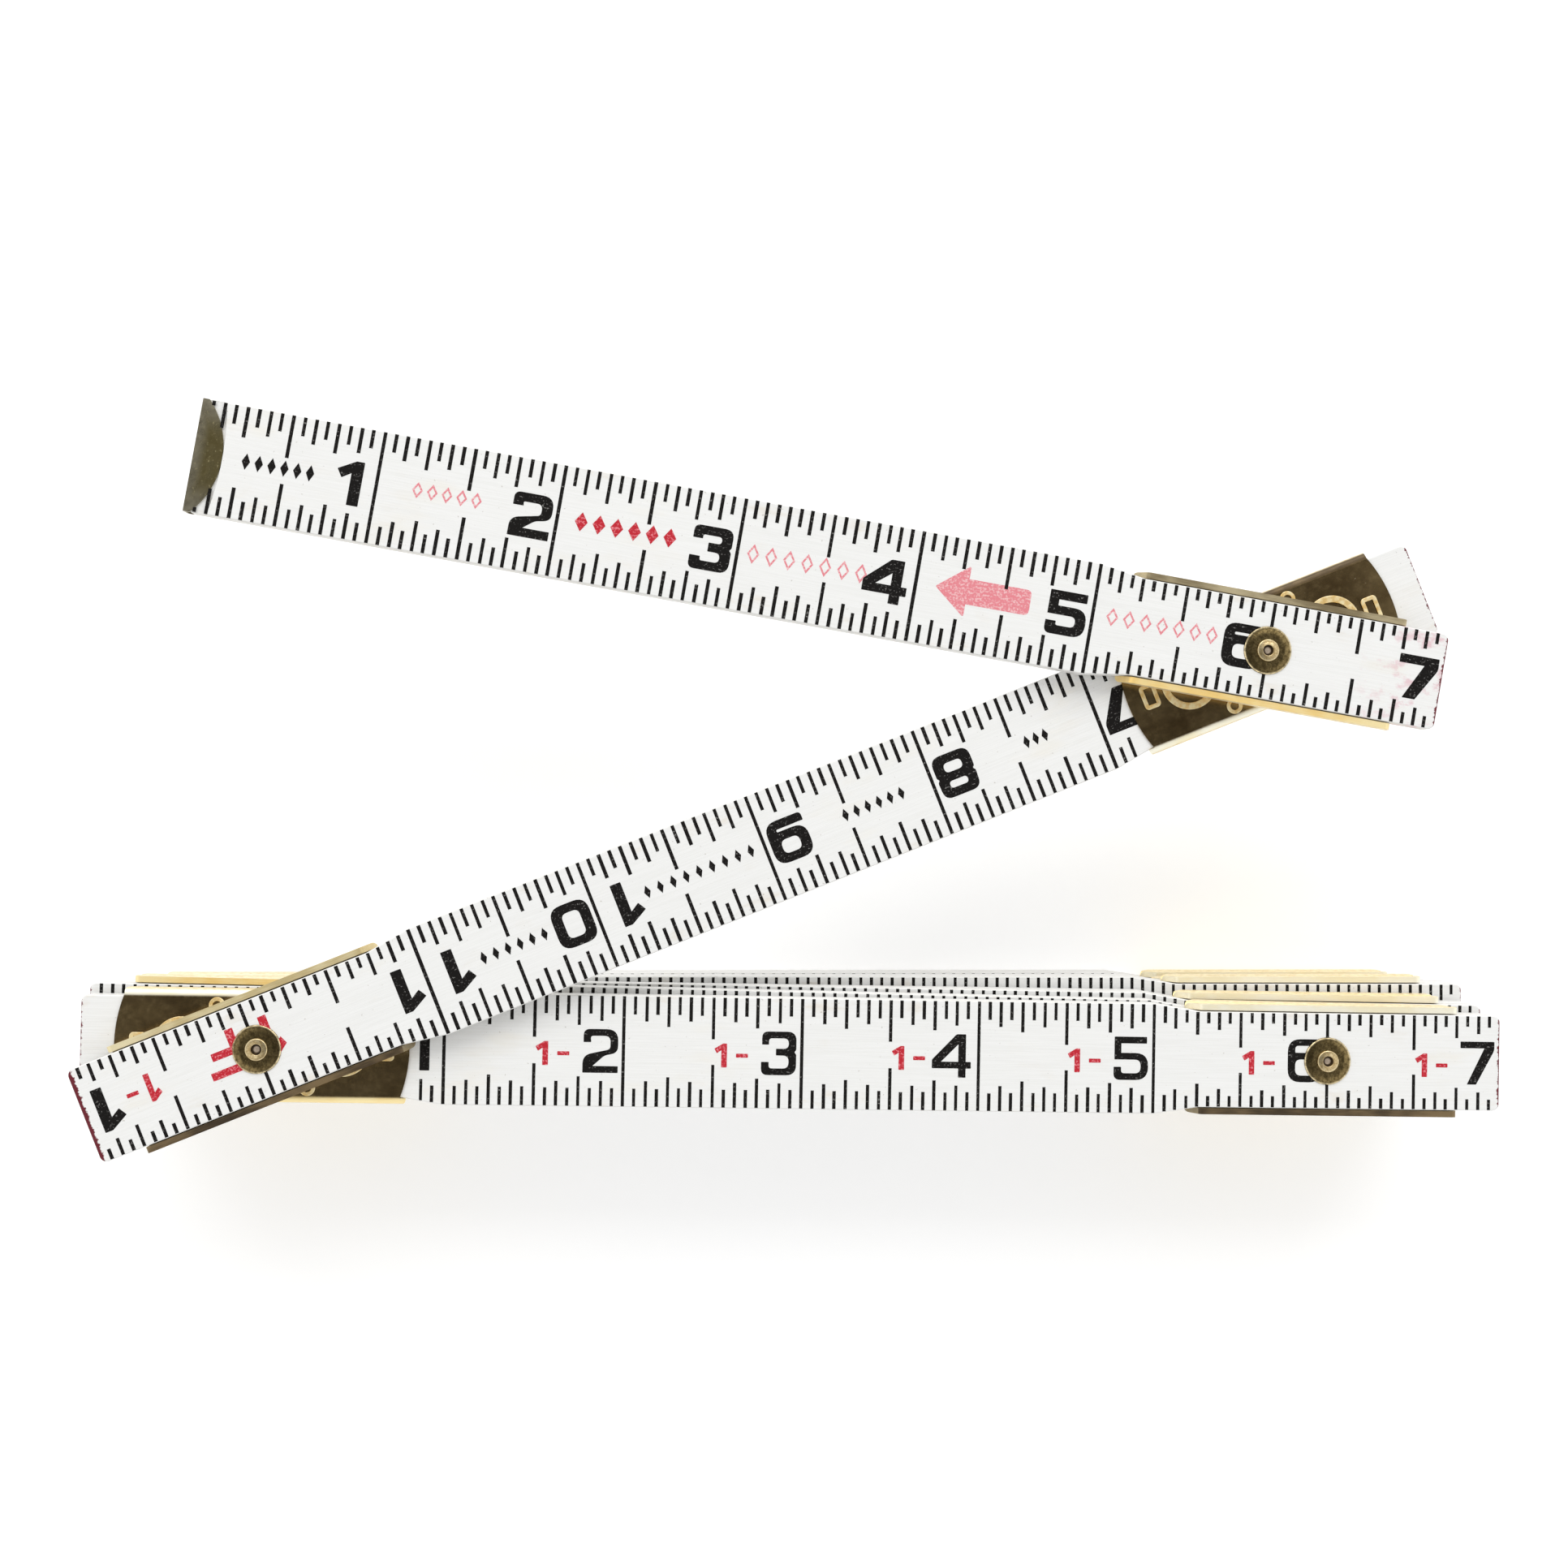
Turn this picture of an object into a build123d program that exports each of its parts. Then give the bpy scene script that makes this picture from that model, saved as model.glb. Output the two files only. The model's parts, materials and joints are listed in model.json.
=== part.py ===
"""Six-foot zigzag folding rule: flat wooden sections stacked one above another and joined by
sprung brass joints on hollow eyelets. The ten lower sections lie folded in a stack, slightly
fanned, and the two upper ones are swung open above it.

Frame: +Z up, every section lies flat in its own layer, and the origin is the middle of the
whole rule's footprint, on the surface it lies on."""

import os
from math import cos, radians, sin

from build123d import *

os.makedirs("parts", exist_ok=True)

# ---- driving dimensions, in millimetres and degrees ----
inch = 25.4
joint_spacing = 6 * inch
overhang = 1 * inch
full_width = 5 / 8 * inch
neck_width = 13.8
neck_end = 18.8
shoulder_end = 1 * inch
corner_radius = 1.0
edge_round = 0.2

wood_thickness = 2.45
sheet = 0.25
plate_gap = 0.30
pitch = wood_thickness + 2 * sheet + plate_gap

plate_radius = 20.6
flange_thickness = 0.88
flange_height = 2.25
flange_lead = 0.9
flange_corner = 0.8
bend_radius = 0.8
lip_round = 0.4
emboss_height = 0.2
emboss_round = 0.08
pivot_boss = 2.8
detent_ring_at = 11.2
detent_ring_radii = (4.1, 3.1)
detent_loop_at = 17.3
detent_loop_size = (2.4, 3.6)
detent_loop_wall = 0.6
stop_ring_at = (6.4, 5.7)
stop_ring_radii = (1.15, 0.6)
slot_size = (2.2, 0.9)
dish_depth = 0.1

eyelet_radius = 1.2
eyelet_bore = 0.75
rim_radius = 1.55
rim_height = 0.25
rim_round = 0.12
washer_radius = 3.375
washer_thickness = 0.35
washer_seat = 0.10
washer_chamfer = 0.12
hidden_washer_thickness = 0.25
hidden_seat_radius = 3.6
hidden_seat_depth = 0.5
hidden_rim_height = 0.2
end_play = 0.03
running_clearance = 0.05
pressed_clearance = 0.01

cap_depth = 4.0
cap_side_depth = 0.9
cap_end_wall = 0.3
cap_clearance = 0.05

# The way each section's scale runs, from the first section to the last. The folded sections
# turn back on each other, a fraction of a degree apart.
headings = [
    -10.07, -158.53, -1.17, 178.38, -1.28, 178.90,
    -0.31, 179.77, -0.61, 179.58, -0.23, 179.77,
]
first_joint = (65.8, 18.37)

count = len(headings)


def moved_along(point, heading, distance):
    """The point at a distance from another one, in the direction of a heading."""
    turn = radians(heading)
    return point[0] + distance * cos(turn), point[1] + distance * sin(turn)


pivots = [first_joint]
for heading in headings[1:-1]:
    pivots.append(moved_along(pivots[-1], heading, joint_spacing))
scale_origins = [moved_along(first_joint, headings[0], -joint_spacing)] + pivots


def wood_bottom(number):
    """Height of the underside of a section's wood; section 12 lies on the surface."""
    return (count - number) * pitch


def section_plane(number, along=0.0, height=0.0):
    """A level plane on a section: X runs along its scale, and height is from its underside."""
    heading = headings[number - 1]
    origin = moved_along(scale_origins[number - 1], heading, along)
    turn = radians(heading)
    return Plane(
        origin=(*origin, wood_bottom(number) + height),
        x_dir=(cos(turn), sin(turn), 0),
        z_dir=(0, 0, 1),
    )


def finish(piece, name):
    """Label a finished piece and write it as its own file."""
    piece.part.label = name
    export_step(piece.part, f"parts/{name}.step")
    return piece.part


# ---- wooden sections ----
def disc(plane, radius):
    """A round face on a plane."""
    with BuildSketch(plane) as sketch:
        Circle(radius)
    return sketch.sketch


def bore(plane, radius, depth):
    """Cut a round hole or recess into the part being made, against the plane's Z."""
    extrude(disc(plane, radius), amount=-depth, mode=Mode.SUBTRACT)


def bowed_strip(plane, depth, side_depth, half_width):
    """A strip across a section's free end, with a bow on its inner side."""
    with BuildSketch(plane) as sketch:
        with BuildLine():
            Line((0, -half_width), (side_depth, -half_width))
            ThreePointArc((side_depth, -half_width), (depth, 0), (side_depth, half_width))
            Polyline((side_depth, half_width), (0, half_width), (0, -half_width))
        make_face()
    return sketch.sketch


def end_plane(number, height):
    """A level plane at a section's free end, with X pointing into the section."""
    if number == 1:
        return section_plane(1, 0, height)
    tip = section_plane(number, joint_spacing, height)
    return Plane(origin=tip.origin, x_dir=-tip.x_dir, z_dir=(0, 0, 1))


def make_section(number):
    """One blade: necked at each joint, rounded at its corners, bored for its eyelets."""
    first, last = number == 1, number == count
    start = cap_end_wall if first else -overhang
    stop = joint_spacing - cap_end_wall if last else joint_spacing + overhang
    half, neck = full_width / 2, neck_width / 2
    left = [] if first else [(start, neck), (neck_end, neck), (shoulder_end, half)]
    far_shoulder = joint_spacing - shoulder_end
    right = [(far_shoulder, half), (joint_spacing - neck_end, neck), (stop, neck)]
    upper = (left or [(start, half)]) + ([(stop, half)] if last else right)
    lower = [(x, -y) for x, y in reversed(upper)]

    with BuildPart() as section:
        with BuildSketch(section_plane(number)) as outline:
            with BuildLine():
                Polyline(*upper, *lower, close=True)
            make_face()
            ends = outline.vertices().group_by(Axis.X)
            fillet(ends[0] + ends[-1], corner_radius)
        extrude(amount=wood_thickness)
        rims = section.faces().sort_by(Axis.Z)
        fillet(rims[0].edges() + rims[-1].edges(), edge_round)

        if not last:
            top = section_plane(number, joint_spacing, wood_thickness)
            bore(top, washer_radius + cap_clearance, washer_seat)
            bore(top, eyelet_radius + pressed_clearance, wood_thickness)
        if not first:
            bottom = section_plane(number)
            bore(bottom, hidden_seat_radius, -hidden_seat_depth)
            bore(bottom, eyelet_radius + running_clearance, -wood_thickness)
        if first or last:
            reach, side = cap_depth + cap_clearance, cap_side_depth + cap_clearance
            for height, depth in ((0, sheet), (wood_thickness, -sheet)):
                strip = bowed_strip(end_plane(number, height), reach, side, full_width)
                extrude(strip, amount=depth, mode=Mode.SUBTRACT)
    return finish(section, f"section_{number:02d}")


# ---- joint plates ----
def plate_plane(joint, is_upper):
    """The wooden face that a joint plate lies on: Z points away from the wood, towards the
    facing plate, and X points to the middle of the plate's own section."""
    if is_upper:
        face = section_plane(joint, joint_spacing)
        return Plane(origin=face.origin, x_dir=-face.x_dir, z_dir=(0, 0, -1))
    return section_plane(joint + 1, 0, wood_thickness)


def flange_sections(face, start):
    """The section across both flanges: a broad bend at the web and an eased lip."""
    half = full_width / 2
    plane = Plane(origin=face.origin + face.x_dir * start, x_dir=face.y_dir, z_dir=face.x_dir)
    with BuildSketch(plane) as sketch:
        for side in (-1, 1):
            middle = (side * (half - flange_thickness / 2), (sheet - flange_height) / 2)
            with Locations(middle):
                Rectangle(flange_thickness, sheet + flange_height)
        outer = sketch.vertices().group_by(Axis.X)
        for corners in (outer[0], outer[-1]):
            lip, bend = corners.sort_by(Axis.Y)
            fillet(bend, bend_radius)
            fillet(lip, lip_round)
    return sketch.sketch


def flange_profile(face, back, front):
    """The flange seen from the side: its front end leans back from the shoulder of the wood."""
    plane = Plane(origin=face.origin, x_dir=face.x_dir, z_dir=-face.y_dir)
    with BuildSketch(plane) as sketch:
        with BuildLine():
            Polyline(
                (back, sheet), (front, sheet), (front - 2 * flange_lead, -flange_height),
                (back, -flange_height), close=True,
            )
        make_face()
        fillet(sketch.vertices().group_by(Axis.Y)[0], flange_corner)
    return sketch.sketch


def web(face):
    """The flat of the plate, with an arc at each end."""
    with BuildSketch(face) as sketch:
        Circle(plate_radius)
        Rectangle(2 * plate_radius, full_width - 2 * bend_radius, mode=Mode.INTERSECT)
    return sketch.sketch


def detents(plane):
    """The raised rings and loops that the facing plate rides and snaps on."""
    with BuildSketch(plane) as sketch:
        Circle(pivot_boss)
        for side in (-1, 1):
            with Locations((side * detent_ring_at, 0)):
                Circle(detent_ring_radii[0])
                Circle(detent_ring_radii[1], mode=Mode.SUBTRACT)
            with Locations((side * detent_loop_at, 0)):
                length, width = detent_loop_size
                RectangleRounded(length, width, detent_loop_wall)
                hole = (length - 2 * detent_loop_wall, width - 2 * detent_loop_wall)
                Rectangle(*hole, mode=Mode.SUBTRACT)
            for across in (-1, 1):
                with Locations((side * stop_ring_at[0], across * stop_ring_at[1])):
                    Circle(stop_ring_radii[0])
                    Circle(stop_ring_radii[1], mode=Mode.SUBTRACT)
    return sketch.sketch


def slots(plane):
    """The slots of the upper plate, over the loops of the lower one."""
    with BuildSketch(plane) as sketch:
        with Locations((-detent_loop_at, 0), (detent_loop_at, 0)):
            SlotOverall(*slot_size, rotation=90)
    return sketch.sketch


def make_plate(joint, is_upper):
    """One of the two facing plates of a joint. The upper one is held by the eyelet, and the
    lower one turns on it."""
    face = plate_plane(joint, is_upper)
    outside = face.offset(sheet)
    back = -((plate_radius**2 - (full_width / 2 - bend_radius) ** 2) ** 0.5)
    front = flange_lead - back
    clearance = pressed_clearance if is_upper else running_clearance
    with BuildPart() as plate:
        extrude(flange_sections(face, back), amount=front - back)
        profile = flange_profile(face, back, front)
        extrude(profile, amount=full_width, both=True, mode=Mode.INTERSECT)
        extrude(web(face), amount=sheet)
        if is_upper:
            for side in (-1, 1):
                spot = Plane(
                    origin=outside.origin + face.x_dir * side * detent_ring_at,
                    x_dir=face.x_dir, z_dir=face.z_dir,
                )
                bore(spot, detent_ring_radii[1], dish_depth)
            extrude(slots(outside), amount=-sheet, mode=Mode.SUBTRACT)
        else:
            extrude(detents(outside), amount=emboss_height)
            crests = plate.edges().group_by(Axis(face.origin, face.z_dir))[-1]
            fillet(crests, emboss_round)
        bore(face.offset(sheet + emboss_height), eyelet_radius + clearance, pitch)
    side = "upper" if is_upper else "lower"
    return finish(plate, f"joint_{joint:02d}_{side}_plate")


# ---- eyelets and washers ----
def make_eyelet(joint):
    """The hollow rivet of a joint, rolled over the washer of the upper section."""
    bottom = hidden_seat_depth - hidden_washer_thickness - end_play - hidden_rim_height
    foot = section_plane(joint + 1, 0, bottom)
    washer_top = pitch + wood_thickness - washer_seat + washer_thickness
    head = section_plane(joint + 1, 0, washer_top)
    with BuildPart() as eyelet:
        extrude(disc(foot, rim_radius), amount=hidden_rim_height)
        extrude(disc(foot, eyelet_radius), amount=washer_top - bottom)
        extrude(disc(head, rim_radius), amount=rim_height)
        fillet(eyelet.faces().sort_by(Axis.Z)[-1].edges(), rim_round)
        bore(head.offset(rim_height), eyelet_bore, 3 * pitch)
        mouth = eyelet.faces().sort_by(Axis.Z)[-1].edges().sort_by(SortBy.LENGTH)[0]
        fillet(mouth, rim_round)
    return finish(eyelet, f"joint_{joint:02d}_eyelet")


def make_washers(number):
    """A section's washers: one on its upper face, and one let in flush under it."""
    with BuildPart() as washers:
        if number < count:
            seat = section_plane(number, joint_spacing, wood_thickness - washer_seat)
            extrude(disc(seat, washer_radius), amount=washer_thickness)
            chamfer(washers.faces().sort_by(Axis.Z)[-1].edges(), washer_chamfer)
            top = seat.offset(washer_thickness)
            bore(top, eyelet_radius + pressed_clearance, washer_thickness)
        if number > 1:
            seat = section_plane(number, 0, hidden_seat_depth)
            extrude(disc(seat, washer_radius), amount=-hidden_washer_thickness)
            bore(seat, eyelet_radius + running_clearance, hidden_washer_thickness)
    return finish(washers, f"washers_{number:02d}")


# ---- end caps ----
def end_wall(plane):
    """The outline of the cap's end wall."""
    with BuildSketch(plane) as sketch:
        with Locations((cap_end_wall / 2, 0)):
            Rectangle(cap_end_wall, full_width)
    return sketch.sketch


def make_cap(number, name):
    """The sheet brass cap folded round a free end of the rule, flush with both faces."""
    with BuildPart() as cap:
        for height, depth in ((0, sheet), (wood_thickness, -sheet)):
            plane = end_plane(number, height)
            strip = bowed_strip(plane, cap_depth, cap_side_depth, full_width / 2)
            extrude(strip, amount=depth)
        extrude(end_wall(end_plane(number, 0)), amount=wood_thickness)
    return finish(cap, name)


pieces = [make_section(number) for number in range(1, count + 1)]
pieces += [make_washers(number) for number in range(1, count + 1)]
for joint in range(1, count):
    pieces += [make_plate(joint, True), make_plate(joint, False), make_eyelet(joint)]
pieces += [make_cap(1, "end_cap_start"), make_cap(count, "end_cap_finish")]

box = Compound(children=pieces).bounding_box()
print("lowest corner", box.min, "highest corner", box.max)
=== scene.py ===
"""Looks of the folding rule: enamel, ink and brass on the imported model, the closed ends of its
rivets, a floor, lights and a camera. Lengths are in metres, except in a blade's own plan, which
is in millimetres: u runs along its scale, from its first pivot or the zero end, and v across
it, to the left of the way it runs."""

import json
from collections import namedtuple
from math import atan2, cos, pi, sin, sqrt
from random import Random

import bmesh
import bpy
from mathutils import Euler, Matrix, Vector
from mathutils.geometry import tessellate_polygon


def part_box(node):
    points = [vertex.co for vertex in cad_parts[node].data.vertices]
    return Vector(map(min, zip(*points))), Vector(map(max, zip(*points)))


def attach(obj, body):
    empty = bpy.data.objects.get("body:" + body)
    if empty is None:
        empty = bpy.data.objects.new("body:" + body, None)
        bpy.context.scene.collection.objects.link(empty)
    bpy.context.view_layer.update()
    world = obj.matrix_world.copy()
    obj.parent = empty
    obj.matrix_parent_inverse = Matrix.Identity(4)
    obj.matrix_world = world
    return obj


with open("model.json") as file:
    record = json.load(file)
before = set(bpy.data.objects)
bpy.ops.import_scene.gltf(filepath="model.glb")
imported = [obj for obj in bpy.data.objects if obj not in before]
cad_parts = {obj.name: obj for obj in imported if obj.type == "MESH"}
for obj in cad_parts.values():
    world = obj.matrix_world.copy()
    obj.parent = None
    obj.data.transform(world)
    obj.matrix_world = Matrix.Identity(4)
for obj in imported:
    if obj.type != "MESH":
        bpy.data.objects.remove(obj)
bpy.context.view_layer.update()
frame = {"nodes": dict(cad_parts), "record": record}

# ---- measures of a blade and its joints, in millimetres, and the inches between two pivots ----
INCH = 25.4
INCHES = 6
SPACING = INCHES * INCH
OVERHANG = INCH
HALF_WIDTH = 5 / 16 * INCH
HALF_NECK = 6.9
NECK_END = 18.8
SHOULDER_END = INCH
PLATE_END = 20.5
CAP_DEPTH = 4.0
CAP_SIDE_DEPTH = 0.9
SEAT_RADIUS = 3.9
WASHER_RADIUS = 3.375
RIM_RADIUS = 1.55
SHEET = 0.25
EMBOSS = 0.2
BLADES = 12
INCHES_IN_FOOT = 12

# ---- colours: a pair is the two ends of a mottle ----
ENAMEL = ((0.805, 0.805, 0.785, 1), (0.845, 0.845, 0.83, 1))
YELLOWED = (0.80, 0.76, 0.66, 1)
STAINED = (0.70, 0.61, 0.48, 1)
SPECK = (0.42, 0.39, 0.34, 1)
WORN_EDGE = (0.60, 0.57, 0.50, 1)
# The sides are painted greyer than the faces, as shade; the fibres on them are wear.
SHADED_SIDE = ((0.66, 0.65, 0.625, 1), (0.78, 0.77, 0.745, 1))
SIDE_FIBRE = (0.36, 0.33, 0.29, 1)
SMEARED = (0.66, 0.27, 0.34, 1)
END_PAINT = (0.13, 0.005, 0.014, 1)

FLAT_BRASS = ((0.165, 0.108, 0.045, 1), (0.32, 0.228, 0.105, 1))
FLAT_MOTTLE = (0.46, 0.36, 0.20, 1)
FLAT_SPECK = (0.95, 0.90, 0.75, 1)
# Crests rubbed bright and also painted as highlights.
CREST_RUBBED_AND_HIGHLIT = ((0.88, 0.63, 0.26, 1), (0.99, 0.87, 0.56, 1))
BEND_WALL = ((0.72, 0.58, 0.32, 1), (0.92, 0.81, 0.55, 1))
WALL_SCRATCH = (0.95, 0.86, 0.62, 1)
WASHER = ((0.105, 0.075, 0.030, 1), (0.30, 0.22, 0.095, 1))
EYELET = ((0.46, 0.33, 0.15, 1), (0.88, 0.72, 0.42, 1))
# The rubbed rim of a washer or eyelet, painted bright as a highlight too.
RUBBED_HIGHLIT_RIM = (0.90, 0.74, 0.44, 1)
CAP = ((0.16, 0.13, 0.055, 1), (0.30, 0.25, 0.12, 1))
# Painted highlight of a cap, towards its wall and its tips.
CAP_HIGHLIGHT = (0.40, 0.365, 0.27, 1)
CAP_FLECK = (0.80, 0.70, 0.38, 1)
CORE = ((0.34, 0.27, 0.20, 1), (0.62, 0.52, 0.42, 1))
# Painted shade round the edge of a rivet's core.
CORE_SHADE = (0.045, 0.03, 0.018, 1)
FLOOR = ((0.80, 0.80, 0.80, 1), (0.82, 0.82, 0.82, 1))

# The tones of the tops of the plates' bends, painted highlight or shade as the light would fall,
# and which plate has which, on its left and its right side. The others have the default.
OLIVE = ((0.58, 0.46, 0.22, 1), (0.86, 0.76, 0.48, 1))
DULL = ((0.22, 0.17, 0.09, 1), (0.52, 0.44, 0.27, 1))
SHADE_BROWN = ((0.055, 0.037, 0.02, 1), (0.23, 0.16, 0.078, 1))
HIGHLIGHT_GOLD = ((0.93, 0.65, 0.22, 1), (0.99, 0.83, 0.45, 1))
HIGHLIGHT_CREAM = ((0.96, 0.88, 0.63, 1), (1.0, 0.97, 0.83, 1))
PAINTED_BEND_LIGHT = {
    "joint_01_upper_plate": (DULL, HIGHLIGHT_GOLD),
    "joint_01_lower_plate": (HIGHLIGHT_CREAM, SHADE_BROWN),
    "joint_02_upper_plate": (SHADE_BROWN, OLIVE),
    "joint_03_upper_plate": (HIGHLIGHT_CREAM, SHADE_BROWN),
}
DEFAULT_PAINTED_BEND_LIGHT = (HIGHLIGHT_CREAM, HIGHLIGHT_GOLD)

# The depth in millimetres of the red paint on a blade's two ends.
PAINT_DEPTHS = {1: (0.1, 0.14), 2: (0.05, 0.5), 3: (0.03, 0.14)}
DEFAULT_PAINT_DEPTHS = (0.05, 0.05)

# Inks: the colour, the colour where it is worn, and the level of noise that it wears from.
BLACK_INK = ((0.009, 0.008, 0.0075, 1), (0.20, 0.195, 0.185, 1), 0.565)
RED_INK = ((0.50, 0.024, 0.038, 1), (0.76, 0.23, 0.26, 1), 0.52)
PALE_RED_INK = ((0.74, 0.235, 0.27, 1), (0.82, 0.50, 0.51, 1), 0.50)

record = frame["record"]
hinges = {joint["name"]: joint for joint in record["behaviour"]["joints"]}
mounts = {mount["name"]: mount for mount in record["mounts"]}


def add_object(name, data):
    """A new object in the scene."""
    made = bpy.data.objects.new(name, data)
    bpy.context.scene.collection.objects.link(made)
    return made


class Blade:
    """Where one blade lies at rest, and its plan."""

    def __init__(self, number):
        self.number = number
        self.first, self.last = number == 1, number == BLADES
        before, after = f"joint_{number - 1:02d}_turn", f"joint_{number:02d}_turn"
        start = mounts["zero_end"] if self.first else hinges[before]
        stop = mounts["far_end"] if self.last else hinges[after]
        self.origin = Vector(start["pos_m"]).xy
        way = Vector(stop["pos_m"]).xy - self.origin
        self.heading = atan2(way.y, way.x)
        self.along = way.normalized()
        self.across = Vector((-self.along.y, self.along.x))
        low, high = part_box(f"section_{number:02d}")
        self.low, self.high = low.z, high.z
        self.body = f"blade_{number:02d}"

    def half_width(self, u):
        """Half the blade's width at a place along it: it necks in at each joint."""
        to_pivots = []
        if not self.first:
            to_pivots.append(u)
        if not self.last:
            to_pivots.append(SPACING - u)
        near = min(to_pivots, default=SHOULDER_END)
        taper = (near - NECK_END) / (SHOULDER_END - NECK_END)
        return HALF_NECK + (HALF_WIDTH - HALF_NECK) * min(1, max(0, taper))

    def place(self, u, v, z):
        """The point in the shared frame for a place in the blade's plan."""
        spot = self.origin + self.along * u / 1000 + self.across * v / 1000
        return spot.x, spot.y, z


blades = {number: Blade(number) for number in range(1, BLADES + 1)}
WOOD = (blades[1].high - blades[1].low) * 1000


# ---- materials ----
class Look:
    """A material made of nodes, with short ways to add them. Constants go straight to the
    shader's own sockets."""

    def __init__(self, name, **constants):
        self.material = bpy.data.materials.new(name)
        self.material.use_nodes = True
        self.tree = self.material.node_tree
        self.shader = self.tree.nodes["Principled BSDF"]
        for socket, value in constants.items():
            self.shader.inputs[socket.replace("_", " ")].default_value = value

    def add(self, kind, inputs=(), **settings):
        node = self.tree.nodes.new(kind)
        for name, value in settings.items():
            setattr(node, name, value)
        for key, value in dict(inputs).items():
            if isinstance(value, bpy.types.NodeSocket):
                self.tree.links.new(value, node.inputs[key])
            else:
                node.inputs[key].default_value = value
        return node

    def plan(self, blade):
        """A vector of a blade's plan in millimetres, with the height over its underside."""
        spin = -blade.heading
        x, y = (blade.origin * 1000).to_tuple()
        shift = (-x * cos(spin) + y * sin(spin), -x * sin(spin) - y * cos(spin))
        place = self.add("ShaderNodeTexCoord").outputs["Object"]
        inputs = {
            "Vector": place,
            "Scale": (1000, 1000, 1000),
            "Rotation": (0, 0, spin),
            "Location": (*shift, -blade.low * 1000),
        }
        return self.add("ShaderNodeMapping", inputs).outputs[0]

    def parts(self, vector):
        node = self.add("ShaderNodeSeparateXYZ", {0: vector})
        return node.outputs[0], node.outputs[1], node.outputs[2]

    def math(self, operation, first, second=0.0):
        inputs = {0: first, 1: second}
        return self.add("ShaderNodeMath", inputs, operation=operation).outputs[0]

    def absolute(self, value):
        return self.math("ABSOLUTE", value)

    def distance(self, first, second):
        """The length of a vector with these two parts."""
        squares = [self.math("MULTIPLY", part, part) for part in (first, second)]
        return self.math("SQRT", self.math("ADD", *squares))

    def noise(self, vector, scale, detail=3.0, roughness=0.5):
        inputs = {"Vector": vector, "Scale": scale, "Detail": detail, "Roughness": roughness}
        return self.add("ShaderNodeTexNoise", inputs).outputs[0]

    def streaks(self, vector, factors, detail=3.0, roughness=0.5):
        """Noise with a scale of its own along each axis."""
        inputs = {0: vector, 1: factors}
        scaled = self.add("ShaderNodeVectorMath", inputs, operation="MULTIPLY").outputs[0]
        return self.noise(scaled, 1.0, detail, roughness)

    def ramp(self, value, low, high, start=0.0, end=1.0):
        """A smooth step from start at low to end at high."""
        inputs = {0: value, 1: low, 2: high, 3: start, 4: end}
        node = self.add("ShaderNodeMapRange", inputs, interpolation_type="SMOOTHSTEP")
        return node.outputs[0]

    def mix(self, factor, first, second):
        inputs = {0: factor, 6: first, 7: second}
        return self.add("ShaderNodeMix", inputs, data_type="RGBA").outputs[2]

    def mottle(self, value, low, high, pair):
        """A colour that goes from one of a pair to the other as a value rises."""
        return self.mix(self.ramp(value, low, high), *pair)

    def cover(self, under, value, low, high, strength, over):
        """A colour with another one over it, up to a strength, where a value is high."""
        return self.mix(self.ramp(value, low, high, 0, strength), under, over)

    def level(self):
        """How level a face is: 1 on tops and undersides, 0 on sides."""
        normal = self.add("ShaderNodeNewGeometry").outputs["Normal"]
        return self.absolute(self.parts(normal)[2])

    def bump(self, height, strength, distance):
        inputs = {"Height": height, "Strength": strength, "Distance": distance}
        self.set("Normal", self.add("ShaderNodeBump", inputs).outputs[0])

    def set(self, socket, value):
        self.tree.links.new(value, self.shader.inputs[socket])


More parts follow.
